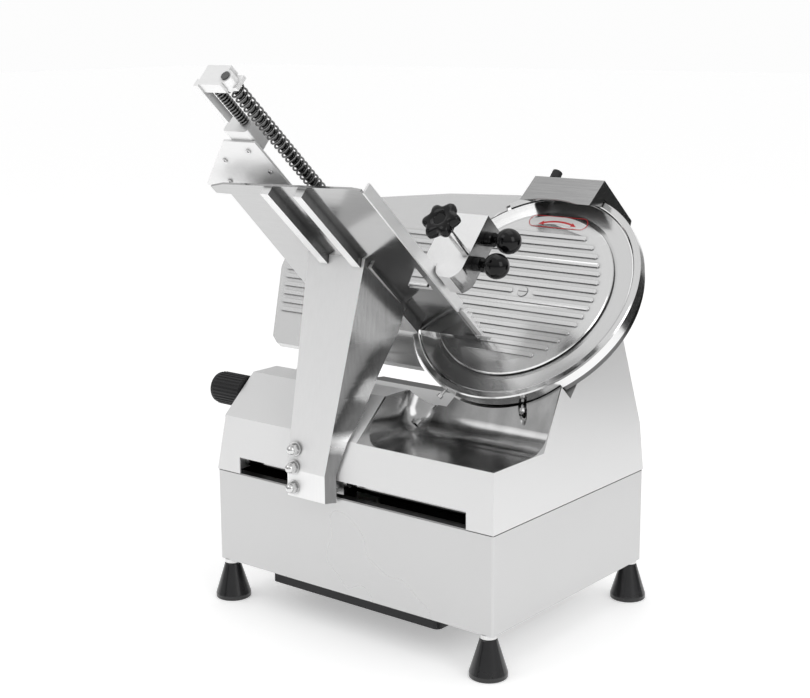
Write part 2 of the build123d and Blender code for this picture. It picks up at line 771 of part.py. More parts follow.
def guide_shaft():
    end = X1 - RAIL_INSET - 2
    return rod_x(SHAFT_Y, RAIL_Z, -end, end, SHAFT_R)


def guide_bar():
    end = X1 - RAIL_INSET - 2
    s = BAR_SIZE / 2
    return block(-end, end, BAR_Y - s, BAR_Y + s, RAIL_Z - s, RAIL_Z + s)


def shaft_blocks():
    """The two end supports of the shaft and bar, standing on the lower casing's rim."""
    blocks = []
    s = BAR_SIZE / 2
    for side in (-1, 1):
        x_in, x_out = side * (X1 - RAIL_INSET - 14), side * (X1 - RAIL_INSET)
        solid = block(x_in, x_out, SHAFT_Y - 18, BAR_Y + 16, UPPER_Z + SEAM, RAIL_Z + 20)
        foot = side * (X1 - RAIL_INSET + 4)
        solid += block(x_in, foot, SHAFT_Y - 18, BAR_Y + 16, UPPER_Z + SEAM, UPPER_Z + SEAM + 4)
        solid -= rod_x(SHAFT_Y, RAIL_Z, x_in - side, side * (X1 - RAIL_INSET - 1.9), SHAFT_R)
        bar_end = side * (X1 - RAIL_INSET - 1.9)
        solid -= block(x_in - side, bar_end, BAR_Y - s, BAR_Y + s, RAIL_Z - s, RAIL_Z + s)
        blocks.append(solid)
    return blocks


def carriage_block():
    s = BAR_SIZE / 2 + 0.3
    z0 = UPPER_Z + SEAM + CLEAR
    body = block(BLOCK_X0, BLOCK_X1, SHAFT_Y - 20, BAR_Y + 18, z0, RAIL_Z + 20)
    body -= rod_x(SHAFT_Y, RAIL_Z, BLOCK_X0 - 1, BLOCK_X1 + 1, SHAFT_R + 4)
    body -= block(BLOCK_X0 - 1, BLOCK_X1 + 1, BAR_Y - s, BAR_Y + s, RAIL_Z - s, RAIL_Z + s)
    for x in BOLT_X:
        body -= rod_y(x, RAIL_Z, SHAFT_Y - 21, SHAFT_Y - 15.5, 3)
    return body + belt_clamp()


def shaft_bushes():
    bushes = []
    for x0, x1 in ((BLOCK_X0, BLOCK_X0 + 20), (BLOCK_X1 - 20, BLOCK_X1)):
        bush = rod_x(SHAFT_Y, RAIL_Z, x0, x1, SHAFT_R + 4)
        bushes.append(bush - rod_x(SHAFT_Y, RAIL_Z, x0 - 1, x1 + 1, SHAFT_R + RUNNING_FIT))
    return bushes


def carriage_bracket():
    """The stepped plate that passes out through the slot and stands behind the arm."""
    y_in = SHAFT_Y - 20
    y_back = -Y1 - ARM_GAP
    z0, z1 = UPPER_Z + SEAM + 2, UPPER_Z + SLOT_HEIGHT - 2
    x0, x1 = ARM_X0 + ARM_THICK + 1, ARM_X1 - ARM_THICK - 1
    top = NUT_Z[2] + 6
    behind = [(arm_face(z)[1] + ARM_THICK, z) for z in (z0, ARM_BEND_Z, top)]
    plate = prism_x([(y_back, z0), (y_back, top)] + behind[::-1], x0, x1)
    plate += block(x0, x1, y_back - BRACKET_THICK + 1, y_in, z0, z1 - 7)
    plate += block(BLOCK_X0, BLOCK_X1 + 10, y_in - 6, y_in, z0, z1)
    for x in BOLT_X:
        plate -= rod_y(x, RAIL_Z, y_in - 40, y_in + 1, 3 + 0.2)
        plate -= rod_y(x, RAIL_Z, y_in - 40, y_in - 6, 5.5)
    for z in NUT_Z:
        plate -= rod_y(NUT_X, z, ARM_Y, y_back - 1, 4)
    return plate


def carriage_bolts():
    y_in = SHAFT_Y - 20
    bolts = []
    for x in BOLT_X:
        top = rod_y(x, RAIL_Z, y_in - 11, y_in - 6, 5)
        bolts.append(top + rod_y(x, RAIL_Z, y_in - 11, y_in + 4, 3))
    return bolts


# Heights up the arm, each with how far back its cheeks reach


def arm_face(z):
    """How far up the lean a height is, and where the arm's front face is there."""
    rise = max(0.0, (z - ARM_BEND_Z) / (ARM_TOP_Z - ARM_BEND_Z))
    return rise, ARM_Y + rise * (ARM_TOP_Y - ARM_Y)


def arm_section(z, y_rear):
    """The channel's plan at one height: a front plate with two cheeks behind it."""
    rise, y = arm_face(z)
    flare = min(1.0, max(0.0, (z - ARM_BEND_Z) / 60))
    x0 = ARM_X0 + rise * (ARM_TOP_X0 - ARM_X0)
    x1 = ARM_X1 + rise * (ARM_TOP_X1 - ARM_X1)
    x2 = x1 + 8 + flare * (ARM_FLARE_X - x1 - 8)
    t = ARM_THICK
    points = [
        (x0, y), (x1, y), (x2, y_rear), (x2 - t, y_rear), (x1 - t, y + t),
        (x0 + t, y + t), (x0 + t, y_rear), (x0, y_rear),
    ]
    return make_face(Polyline([(px, py, z) for px, py in points], close=True))


def carriage_arm():
    arm = loft([arm_section(z, y) for z, y in ARM_LEVELS], ruled=True)
    a0, a1 = ARM_TOP_X0 - BLADE_X, ARM_FLARE_X - BLADE_X
    t = ARM_THICK
    saddle = block(a0 + 1, a1 - 1, TABLE_B - 14, TABLE_B, 24, 66)
    saddle += block(a0 + 1, a1 - 1, TABLE_B - t, TABLE_B, 60, ARM_TOP_C - 12)
    arm += on_head(saddle)
    arm -= on_head(block(-700, 400, TABLE_B, TABLE_B + 300, -300, 500))
    for a in RAIL_A:
        b0 = TABLE_B - RAIL_DROP - CLEAR
        notch = block(a - CLEAR, a + RAIL_WIDTH + CLEAR, b0, TABLE_B, RAIL_C0, 300)
        arm -= on_head(notch)
    for z in NUT_Z:
        arm -= rod_y(NUT_X, z, ARM_Y - 5, -Y1 - ARM_GAP + 2, 4 + 0.2)
    return arm.solids().sort_by(SortBy.VOLUME)[-1]


def arm_nuts():
    """Domed nut, washer and stud at each fixing, as one group."""
    nuts = []
    for z in NUT_Z:
        y = arm_face(z - 9)[1]
        washer = rod_y(NUT_X, z, y - 1.6, y, 9)
        hexagon = Pos(NUT_X, y - 1.6, z) * extrude(Plane.XZ * RegularPolygon(7.5, 6), amount=7)
        dome = Pos(NUT_X, y - 8, z) * Sphere(6.4)
        dome -= block(NUT_X - 20, NUT_X + 20, y - 8, y + 20, z - 20, z + 20)
        stud = rod_y(NUT_X, z, y - 6, -Y1 - ARM_GAP - 1, 4)
        nuts.append(washer + hexagon + dome + stud)
    return nuts


def table_outline():
    """Across and along the table, with the gap beside the wall cut out."""
    return [
        (TABLE_A0 + 2, TABLE_C0), (TABLE_A1, TABLE_C0), (TABLE_A1, TABLE_C1 + 10),
        (TABLE_A1 - 14, TABLE_C1 + 12), (TABLE_A0 + 8, TABLE_C1), (TABLE_A0 - 18, TABLE_C1 - 7),
        (TABLE_A0 - 18, TABLE_C1 - 20), (TABLE_A0 + 8, TABLE_C1 - 20), (TABLE_A0 - 4, 90),
    ]


def table_prism(points, b0, b1):
    face = make_face(Polyline([(a, b0, c) for a, c in points], close=True))
    return extrude(face, amount=b1 - b0, dir=(0, 1, 0))


def meat_table():
    b0, b1 = TABLE_B, TABLE_B + TABLE_THICK
    plate = table_prism(table_outline(), b0, b1)
    notch = [(-40, 164), (-82, 113), (-40, 115)]
    plate -= table_prism(notch, b0 - 1, b1 + 1)
    plate -= rod_z(0, 0, -30, 5.5, BLADE_RADIUS + 12)
    return on_head(plate)


def table_wall():
    a1 = TABLE_A1 + TABLE_THICK
    wall = block(TABLE_A1, a1, TABLE_B, TABLE_B + WALL_HEIGHT, WALL_END_C, TABLE_C1 + 6)
    return on_head(wall)


def table_rails():
    rails = []
    for a in RAIL_A:
        bar = block(a, a + RAIL_WIDTH, TABLE_B - RAIL_DROP, TABLE_B, RAIL_C0 + CLEAR, TABLE_C1 + 2)
        rails.append(on_head(bar))
    return rails


def serrated_strip():
    a0, a1 = TABLE_A1 - 14, TABLE_A1 + 8
    b0 = TABLE_B + TABLE_THICK
    strip = block(a0, a1, b0, b0 + 4, TABLE_C0 + 4, WALL_END_C - 1)
    for k in range(5):
        c = TABLE_C0 + 8 + 11 * k
        tooth = [(b0 + 3.5, c), (b0 + 10, c + 1.5), (b0 + 3.5, c + 9)]
        face = make_face(Polyline([(a0, b, z) for b, z in tooth], close=True))
        strip += extrude(face, amount=a1 - a0, dir=(1, 0, 0))
    return on_head(strip)


def pusher_rod():
    return on_head(rod_z(ROD_A, ROD_B, ROD_C0, ROD_C1 + 16, ROD_RADIUS))


def rod_bracket():
    """The post that holds the rod's lower end on the table."""
    b0 = TABLE_B + TABLE_THICK
    post = block(ROD_A - 11, ROD_A + 11, b0, ROD_B + 4, ROD_C0, ROD_C0 + 16)
    post += rod_z(ROD_A, ROD_B, ROD_C0, ROD_C0 + 16, 11)
    post += block(ROD_A - 15, ROD_A + 15, b0, b0 + 4, ROD_C0 - 4, ROD_C0 + 26)
    return on_head(post - rod_z(ROD_A, ROD_B, ROD_C0 - 1, ROD_C0 + 30, ROD_RADIUS))


def pusher_spring():
    c0, c1 = ROD_C0 + 17, ROD_C1 - 4
    height = c1 - c0 - 2 * SPRING_WIRE
    path = Helix(pitch=SPRING_PITCH, height=height, radius=SPRING_RADIUS)
    profile = Plane(origin=path @ 0, z_dir=path % 0) * Circle(SPRING_WIRE)
    coil = sweep(profile, path=path)
    return on_head(Pos(ROD_A, ROD_B, c0 + SPRING_WIRE) * coil)


def pusher_top_block():
    """The bracket at the top: it slides on the rod and holds the stem."""
    c0, c1 = ROD_C1, ROD_C1 + 14
    a0, a1 = STEM_A - 6, ROD_A - 1
    b0, b1 = ROD_B - 13, ROD_B + 16
    top = block(a0, a1, b0, b1, c0, c1) + block(a0, ROD_A + 12, b0 + 6, b1 - 4, c0 - 3, c0 + 2)
    top += rod_z(ROD_A, ROD_B, c0 - 3, c1, 9)
    top += block(a0 - 4, a0 + 3, b0 - 2, b0 + 8, c0 - 52, c1)
    top -= rod_z(ROD_A, ROD_B, c0 - 5, c1 + 5, ROD_RADIUS + RUNNING_FIT)
    return on_head(top - rod_z(STEM_A + 2, STEM_B, c0 - 5, c0 + 8, 5))


def pusher_stem():
    c0, c1 = PLATE_C1 + 16, ROD_C1
    stem = rod_z(STEM_A + 2, STEM_B, c0, c1 - 3, STEM_RADIUS)
    return on_head(stem + rod_z(STEM_A + 2, STEM_B, c0 - 6, c1 + 7, 5))


def pusher_hub():
    c1 = PLATE_C1 + 16
    hub = block(STEM_A - 26, STEM_A + 13, PLATE_B + 3, STEM_B + 9, c1 - 36, c1)
    edges = hub.edges().filter_by(lambda e: abs((e % 0).X) < 0.01 and abs(e.length - 36) < 0.01)
    hub = fillet(edges, 4)
    return on_head(hub - rod_z(STEM_A + 2, STEM_B, c1 - 7, c1 + 1, 5))


def pusher_plate():
    """The flared sheet over the table, with its gripping lip turned down at the end."""
    t = PUSHER_SHEET
    right = ROD_A - SPRING_RADIUS - SPRING_WIRE - 8
    plan = [
        (STEM_A - 36, PLATE_C1),
        (STEM_A - 136, PLATE_C0 + 26),
        (STEM_A - 132, PLATE_C0 + 16),
        (TABLE_A0 + TOOTH_PITCH / 2, PLATE_C0),
        (right, PLATE_C0),
        (right + 2, PLATE_C1),
    ]
    face = make_face(Polyline([(a, PLATE_B, c) for a, c in plan], close=True))
    sheet = extrude(face, amount=t, dir=(0, 1, 0))
    foot = TABLE_B + TABLE_THICK + 2
    root = foot + TOOTH_DEPTH
    left = TABLE_A0 + TOOTH_PITCH / 2
    sheet += block(left, right, root - 0.2, PLATE_B + t, PLATE_C0, PLATE_C0 + t)
    for k in range(int((right - left) / TOOTH_PITCH)):
        a = left + TOOTH_PITCH * k
        corners = [(a, root), (a + 0.75 * TOOTH_PITCH, root), (a + 0.375 * TOOTH_PITCH, foot)]
        tooth = make_face(Polyline([(x, y, PLATE_C0) for x, y in corners], close=True))
        sheet += extrude(tooth, amount=t, dir=(0, 0, 1))
    return on_head(sheet)


def clamp_block():
    a0, a1 = TABLE_A1 + TABLE_THICK + CLEAR, CLAMP_A1
    c0, c1 = CLAMP_C0, CLAMP_C1
    body = block(a0, a1, CLAMP_NOSE_B + 18, CLAMP_TOP_B, c0, c1)
    body += on_nose(a0, a1, c0, c1)
    body = body + block(a0 - 22, a0, TABLE_B + WALL_HEIGHT + CLEAR, CLAMP_TOP_B, c0, c1)
    body -= rod_z(STAR_A, STAR_B, c1 - 11, c1 + 1, 5)
    for b in LEVER_B:
        body -= rod_x(b, (c0 + c1) / 2 - 2, a1 - 14, a1 + 1, 6 + RUNNING_FIT)
    return on_head(body)


def on_nose(a0, a1, c0, c1):
    """The rounded lower end of the clamp's body."""
    b = CLAMP_NOSE_B + 18
    mid = (a0 + a1) / 2
    half = (a1 - a0) / 2
    nose = rod_z(mid, b, c0, c1, half)
    return nose & block(a0, a1, CLAMP_NOSE_B, b + 1, c0, c1)


def star_knob():
    """The six-lobed grip and the screw moulded into it."""
    c0 = CLAMP_C1 + STAR_RISE
    knob = rod_z(STAR_A, STAR_B, c0, c0 + 16, 17)
    for k in range(6):
        a, b = polar(18, 60 * k + 12)
        knob += rod_z(STAR_A + a, STAR_B + b, c0, c0 + 16, 7)
    knob += rod_z(STAR_A, STAR_B, c0 - 8, c0 + 1, 10)
    return on_head(knob + rod_z(STAR_A, STAR_B, CLAMP_C1 - 10, c0 + 9, 5 - RUNNING_FIT))


def ball_lever(b):
    a0 = CLAMP_A1 - 13
    c = (CLAMP_C0 + CLAMP_C1) / 2 - 2
    stem = rod_x(0, 0, a0, CLAMP_A1, 6) + rod_x(0, 0, CLAMP_A1 + CLEAR, CLAMP_A1 + 10, 9)
    stem += rod_x(0, 0, CLAMP_A1 - 1, CLAMP_A1 + 24, 4)
    ball = Pos(CLAMP_A1 + 31, 0, 0) * Sphere(16)
    return on_head(Pos(0, b, c) * (stem + ball))


# ---------------------------------------------------------------- sharpener


def sharpener_hood():
    """The pressed hood over the stones: front, top and two cheeks, open underneath."""
    a0, a1 = HOOD_A
    t = 2.0
    profile = [(174, -72), (170, 21), (124, 29), (134, 14), (152, -20), (164, -76)]
    face = make_face(Polyline([(a0, b, c) for b, c in profile], close=True))
    outer = extrude(face, amount=a1 - a0, dir=(1, 0, 0))
    under = [(100, 26.5), (124, 26.5), (168, 18.8), (171.6, -70), (160, -90), (100, -90)]
    face = make_face(Polyline([(a0 + t, b, c) for b, c in under], close=True))
    shell = outer - extrude(face, amount=a1 - a0 - 2 * t, dir=(1, 0, 0))
    shell -= rod_z((a0 + a1) / 2 - 6, 124 - 150, 10, 60, 156)
    shell -= rod_z(0, 0, -60, 4, RING_RADIUS + 2)
    return on_head(shell - rod_b(HOOD_KNOB_A, HOOD_KNOB_C, 160, 180, 3 + CLEAR))


def sharpener_body():
    """The casting over the ring that carries both stones behind the drum."""
    body = block(-36, 18, RING_RADIUS + 2, 167.5, -70, 16)
    body += block(HOOD_A[0] + 6, HOOD_A[1] - 8, STONE_B - STONE_R - 2, 167.5, -70, -64)
    body += rod_b(PIN_A, PIN_C, PIN_B - 4, 165, PIN_R - RUNNING_FIT)
    body += rod_b(HOOD_KNOB_A, HOOD_KNOB_C, 163, 168.0, 6)
    for a in STONE_A:
        body += rod_z(a, STONE_B, -65, -54, STONE_BORE)
    return on_head(body - rod_b(HOOD_KNOB_A, HOOD_KNOB_C, 150, 180, 3 + RUNNING_FIT))


def rod_b(a, c, b0, b1, r):
    """A round bar along the head's second axis."""
    return Pos(a, (b0 + b1) / 2, c) * Rot(90, 0, 0) * Cylinder(r, abs(b1 - b0))


def hood_knob():
    knob = rod_b(HOOD_KNOB_A, HOOD_KNOB_C, 174.5, 186, 7)
    knob += rod_b(HOOD_KNOB_A, HOOD_KNOB_C, 164, 175, 3)
    return on_head(knob)


def sharpening_stone(a):
    stone = rod_z(a, STONE_B, -63.5, -55, STONE_R)
    return on_head(stone - rod_z(a, STONE_B, -70, -50, STONE_BORE + RUNNING_FIT))


# ---------------------------------------------------------------- drive and controls


def gearmotor():
    """The gearbox on its foot, with its motor lying along the casing."""
    z1 = DRIVE_Z - 12
    x = DRIVE_X[0]
    gearbox = block(x - 34, x + 34, DRIVE_Y - 34, DRIVE_Y + 60, z1 - 46, z1)
    gearbox = fillet(gearbox.edges().filter_by(Axis.Z), 8)
    foot = block(x - 30, x + 30, DRIVE_Y - 30, DRIVE_Y + 56, LOWER_Z + WALL, z1 - 45)
    motor = rod_y(x, z1 - 23, DRIVE_Y + 60, DRIVE_Y + 160, 21)
    return gearbox + foot + motor - rod_z(x, DRIVE_Y, z1 - 20, z1 + 1, 6 + RUNNING_FIT)


def drive_pulley():
    r = DRIVE_PULLEY
    x = DRIVE_X[0]
    z1 = DRIVE_Z - 12
    wheel = rod_z(x, DRIVE_Y, DRIVE_Z - 9, DRIVE_Z + 9, r)
    wheel += rod_z(x, DRIVE_Y, DRIVE_Z - 10.5, DRIVE_Z - 8, r + 3)
    wheel += rod_z(x, DRIVE_Y, DRIVE_Z + 8, DRIVE_Z + 10, r + 3)
    return wheel + rod_z(x, DRIVE_Y, z1 - 19, DRIVE_Z + 12, 6)


def idler_pulley():
    x = DRIVE_X[1]
    r = DRIVE_PULLEY
    wheel = rod_z(x, DRIVE_Y, DRIVE_Z - 9, DRIVE_Z + 9, r)
    wheel += rod_z(x, DRIVE_Y, DRIVE_Z - 10.5, DRIVE_Z - 8, r + 3)
    wheel += rod_z(x, DRIVE_Y, DRIVE_Z + 8, DRIVE_Z + 10, r + 3)
    return wheel - rod_z(x, DRIVE_Y, DRIVE_Z - 12, DRIVE_Z + 12, 6 + RUNNING_FIT)


def idler_bracket():
    """The post that carries the idler pulley, bolted to the casing's floor."""
    x = DRIVE_X[1]
    z0 = LOWER_Z + WALL
    post = block(x - 22, x + 22, DRIVE_Y - 40, DRIVE_Y + 20, z0, z0 + 5)
    post += block(x - 14, x + 14, DRIVE_Y - 14, DRIVE_Y + 14, z0 + 4, DRIVE_Z - 12)
    return post + rod_z(x, DRIVE_Y, DRIVE_Z - 13, DRIVE_Z + 14, 6)


def drive_belt():
    ends = [(x, DRIVE_Y) for x in DRIVE_X]
    loop = belt_loop(ends[0], DRIVE_PULLEY, ends[1], DRIVE_PULLEY, BELT_THICK)
    return stretched(loop, DRIVE_Z - 7, DRIVE_Z + 7)


def belt_clamp():
    """The strut from the carriage block down to the belt's front run."""
    y_belt = DRIVE_Y - DRIVE_PULLEY - 0.15 - BELT_THICK
    z1 = UPPER_Z + SEAM + CLEAR
    strut = block(BLOCK_X - 18, BLOCK_X + 18, y_belt - 6.1, BAR_Y + 18, z1, z1 + 6)
    strut += block(BLOCK_X - 18, BLOCK_X + 18, y_belt - 6.1, y_belt - 0.1, DRIVE_Z - 9, z1 + 6)
    return strut


def control_board():
    """The circuit board on four posts, with its larger parts."""
    x0, x1, y0, y1 = 120, 210, 45, 150
    z0 = LOWER_Z + 34
    board = block(x0, x1, y0, y1, z0, z0 + 1.6)
    board += block(x0 + 10, x0 + 38, y0 + 10, y0 + 38, z0 + 1.5, z0 + 24)
    board += block(x0 + 50, x0 + 72, y0 + 10, y0 + 60, z0 + 1.5, z0 + 16)
    board += rod_z(x0 + 30, y0 + 72, z0 + 1.5, z0 + 42, 15)
    for x in (x0 + 5, x1 - 5):
        for y in (y0 + 5, y1 - 5):
            board += rod_z(x, y, LOWER_Z + WALL, z0 + 0.2, 3.5)
    return board


def switch_panel():
    x0 = -X1 - PANEL_PROUD
    y0, y1 = PANEL_Y
    z0, z1 = PANEL_Z
    plate = block(x0, -X1, y0 - 5, y1 + 5, z0 - 5, z1 + 5)
    plate += block(-X1, -X1 + 30, y0 + CLEAR, y1 - CLEAR, z0 + CLEAR, z1 - CLEAR)
    for y in BUTTON_Y:
        plate -= rod_x(y, BUTTON_Z, x0 - 1, -X1 + 22, BUTTON_R + RUNNING_FIT)
    return plate


def push_button(y):
    cap = rod_x(y, BUTTON_Z, -X1 - 8, -X1 + 16, BUTTON_R)
    return fillet(cap.edges().sort_by(Axis.X)[:1], 2)


def cable_gland():
    gland = rod_y(GLAND_X, GLAND_Z, Y1 - WALL - 8, Y1 + 12, 8)
    gland += rod_y(GLAND_X, GLAND_Z, Y1, Y1 + 6, 13)
    gland += rod_y(GLAND_X, GLAND_Z, Y1 - WALL - 6, Y1 - WALL, 12)
    return gland - rod_y(GLAND_X, GLAND_Z, Y1 - 20, Y1 + 20, 4)


# ---------------------------------------------------------------- build


def main():
    write("lower_housing", lower_housing() + idler_bracket())
    write("upper_housing", upper_housing())
    write("bottom_pan", bottom_pan())
    write("casing_screws", *pan_screws(), *housing_bolts(), *ring_screws())
    write("rubber_feet", *[Pos(x, y, 0) * rubber_foot() for x, y in foot_places()])
    write("foot_studs", *[Pos(x, y, 0) * foot_stud() for x, y in foot_places()])
    write("blade_housing", on_head(blade_housing()))
    write("ring_guard", ring_guard())
    write("blade", blade())
    write("blade_hub", blade_hub())
    write("blade_shaft", blade_shaft())
    write("blade_screws", *blade_screws())
    write("shaft_bearings", *shaft_bearings())
    write("blade_cover", blade_cover())
    write("rotation_label", rotation_label())
    write("cover_tie_rod", cover_tie_rod())
    write("blade_motor", blade_motor())
    write("motor_pulley", motor_pulley())
    write("blade_belt", blade_belt())
    write("gauge_plate", gauge_plate())
    write("gauge_bracket", gauge_bracket())
    write("gauge_guide", gauge_guide())
    write("thickness_knob", thickness_knob())
    write("guide_shaft", guide_shaft())
    write("guide_bar", guide_bar())
    write("shaft_blocks", *shaft_blocks())
    write("carriage_block", carriage_block())
    write("shaft_bushes", *shaft_bushes())
    write("carriage_bracket", carriage_bracket())
    write("carriage_arm", carriage_arm())
    write("carriage_fasteners", *arm_nuts(), *carriage_bolts())
    write("meat_table", meat_table())
    write("table_wall", table_wall())
    write("table_rails", *table_rails())
    write("serrated_strip", serrated_strip())
    write("pusher_rod", pusher_rod())
    write("rod_bracket", rod_bracket())
    write("pusher_spring", pusher_spring())
    write("pusher_top_block", pusher_top_block())
    write("pusher_stem", pusher_stem())
    write("pusher_hub", pusher_hub())
    write("pusher_plate", pusher_plate())
    write("clamp_block", clamp_block())
    write("star_knob", star_knob())
    write("upper_ball_lever", ball_lever(LEVER_B[0]))
    write("lower_ball_lever", ball_lever(LEVER_B[1]))
    write("sharpener_hood", sharpener_hood())
    write("sharpener_body", sharpener_body())
    write("hood_knob", hood_knob())
    write("grinding_stone", sharpening_stone(STONE_A[0]))
    write("deburring_stone", sharpening_stone(STONE_A[1]))
    write("gearmotor", gearmotor())
    write("drive_pulley", drive_pulley())
    write("idler_pulley", idler_pulley())
    write("control_board", control_board())
    write("cable_gland", cable_gland())
    write("drive_belt", drive_belt())
    write("switch_panel", switch_panel())
    write("start_button", push_button(BUTTON_Y[0]))
    write("stop_button", push_button(BUTTON_Y[1]))


main()
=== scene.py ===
"""Finishes, light and fine pieces of a gravity feed deli meat slicer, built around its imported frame."""

import json
import math

import bpy
from mathutils import Matrix, Vector


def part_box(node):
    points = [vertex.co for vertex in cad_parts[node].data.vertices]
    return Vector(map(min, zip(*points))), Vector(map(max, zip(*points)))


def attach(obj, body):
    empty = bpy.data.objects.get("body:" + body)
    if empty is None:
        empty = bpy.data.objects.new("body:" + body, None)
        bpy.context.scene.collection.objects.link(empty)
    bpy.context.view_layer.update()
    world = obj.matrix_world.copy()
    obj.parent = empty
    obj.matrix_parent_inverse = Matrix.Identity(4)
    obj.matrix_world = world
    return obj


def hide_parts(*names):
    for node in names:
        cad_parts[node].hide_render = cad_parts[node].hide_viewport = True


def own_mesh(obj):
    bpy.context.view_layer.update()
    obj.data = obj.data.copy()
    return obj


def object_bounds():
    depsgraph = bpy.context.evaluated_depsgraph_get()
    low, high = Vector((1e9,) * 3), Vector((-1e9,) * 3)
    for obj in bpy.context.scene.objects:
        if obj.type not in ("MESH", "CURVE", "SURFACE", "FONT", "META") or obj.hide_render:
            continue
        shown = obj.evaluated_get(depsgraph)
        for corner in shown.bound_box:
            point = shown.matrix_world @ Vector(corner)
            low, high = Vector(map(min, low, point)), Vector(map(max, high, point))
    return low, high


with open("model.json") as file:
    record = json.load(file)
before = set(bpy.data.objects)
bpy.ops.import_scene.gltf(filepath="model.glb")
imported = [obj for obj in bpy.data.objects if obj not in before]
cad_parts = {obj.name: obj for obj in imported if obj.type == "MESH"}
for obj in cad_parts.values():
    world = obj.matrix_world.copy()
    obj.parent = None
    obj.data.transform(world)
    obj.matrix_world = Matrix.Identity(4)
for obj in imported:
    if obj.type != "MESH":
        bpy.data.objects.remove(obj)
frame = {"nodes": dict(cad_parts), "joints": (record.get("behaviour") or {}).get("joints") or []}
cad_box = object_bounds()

MM = 0.001
# faces that meet at a wider turn than this look sharp
SHARP_TURN = math.radians(38.0)
JOINTS = {joint["name"]: joint for joint in frame["joints"]}
AXLE = Vector(JOINTS["blade_spin"]["pos_m"])
ACROSS = Vector((1.0, 0.0, 0.0))
OUT = Vector(JOINTS["blade_spin"]["axis"])
UP = OUT.cross(ACROSS)


def head(a, b, c):
    """A point of the tilted slicing head: across, up the blade's face, and out of it, in mm."""
    return AXLE + ACROSS * (a * MM) + UP * (b * MM) + OUT * (c * MM)


# ---------------------------------------------------------------- shader trees


class Wire:
    """A socket of a finish. Arithmetic on it adds Math nodes."""

    def __init__(self, finish, socket):
        self.finish = finish
        self.socket = socket

    def math(self, operation, first, second=0.0):
        return self.finish.node("Math", {"operation": operation}, {0: first, 1: second})

    def __add__(self, other):
        return self.math("ADD", self, other)

    __radd__ = __add__

    def __sub__(self, other):
        return self.math("SUBTRACT", self, other)

    def __rsub__(self, other):
        return self.math("SUBTRACT", other, self)

    def __mul__(self, other):
        return self.math("MULTIPLY", self, other)

    __rmul__ = __mul__

    def __pow__(self, other):
        return self.math("POWER", self, other)

    def __lt__(self, other):
        return self.math("LESS_THAN", self, other)

    def __gt__(self, other):
        return self.math("GREATER_THAN", self, other)


class Tree:
    """A node tree and the shader that it feeds."""

    def __init__(self, tree, shader):
        self.tree = tree
        self.shader = tree.nodes[shader]

    def feed(self, socket, value):
        self.plug(self.shader.inputs[socket], value)

    def plug(self, target, value):
        if isinstance(value, Wire):
            self.tree.links.new(value.socket, target)
        else:
            target.default_value = value

    def node(self, kind, settings=None, sockets=None, output=0):
        """A node of this kind, its settings made first and its sockets after them."""
        made = self.tree.nodes.new("ShaderNode" + kind)
        for key, value in (settings or {}).items():
            if key == "stops":
                ramp = made.color_ramp.elements
                while len(ramp) < len(value):
                    ramp.new(0.5)
                for spot, (at, tone) in zip(ramp, value):
                    spot.position = at
                    spot.color = (tone, tone, tone, 1.0)
            else:
                setattr(made, key, value)
        for key, value in (sockets or {}).items():
            self.plug(made.inputs[key], value)
        return Wire(self, made.outputs[output])

    def part(self, vector, axis):
        """One of a vector's three numbers."""
        return self.node("SeparateXYZ", None, {0: vector}, axis)


class Finish(Tree):
    """One material, built around its Principled shader."""

    def __init__(self, name, colour, roughness, metallic=0.0, coat=0.0):
        self.material = bpy.data.materials.new(name)
        self.material.use_nodes = True
        super().__init__(self.material.node_tree, "Principled BSDF")
        self.feed("Base Color", (*colour, 1.0))
        self.feed("Roughness", roughness)
        self.feed("Metallic", metallic)
        self.feed("Coat Weight", coat)

    def place(self):
        """Where a point lies at rest, in metres."""
        return self.node("TexCoord", output="Object")

    def vector(self, operation, first, second, output=0):
        return self.node("VectorMath", {"operation": operation}, {0: first, 1: second}, output)

    def blend(self, mask, low, high):
        """Colour low where the mask is 0, and high where it is 1."""
        return self.node("Mix", {"data_type": "RGBA"}, {0: mask, 6: low, 7: high}, 2)

    def grain(self, stretch, detail=2.0):
        """Noise whose cells are 1 / stretch metres along each axis."""
        spot = self.vector("MULTIPLY", self.place(), stretch)
        return self.node("TexNoise", None, {"Vector": spot, "Scale": 1.0, "Detail": detail})

    def rings(self, per_metre, detail=3.0):
        """Fine turning marks around the blade's axle."""
        across = self.vector("SUBTRACT", self.place(), tuple(AXLE))
        side = self.vector("DOT_PRODUCT", across, tuple(ACROSS), 1)
        rise = self.vector("DOT_PRODUCT", across, tuple(UP), 1)
        reach = (side * side + rise * rise) ** 0.5
        return self.node(
            "TexNoise",
            {"noise_dimensions": "1D"},
            {"W": reach * per_metre, "Scale": 1.0, "Detail": detail},
        )

    def painted_crevice_shade(self, reach, least):
        """Painted shade from an ambient occlusion node: 1 in the open, falling to least in corners
        narrower than reach metres.
        """
        open_to = self.node("AmbientOcclusion", {"samples": 6}, {"Distance": reach}, "AO")
        return open_to * (1.0 - least) + least

    def darken(self, colour, mask):
        """A colour times a mask."""
        settings = {"data_type": "RGBA", "blend_type": "MULTIPLY"}
        return self.node("Mix", settings, {0: 1.0, 6: colour, 7: mask}, 2)

    def bump(self, height, depth):
        """Raises the surface by depth metres where height is 1."""
        raised = self.node("Bump", None, {"Strength": 1.0, "Distance": depth, "Height": height})
        self.feed("Normal", raised)


def grey(tone):
    return (tone, tone, tone)


def rgba(colour):
    return (*colour, 1.0)


def toned(finish, mask, low, high):
    """Lets the base colour wander between two colours."""
    finish.feed("Base Color", finish.blend(mask, rgba(low), rgba(high)))


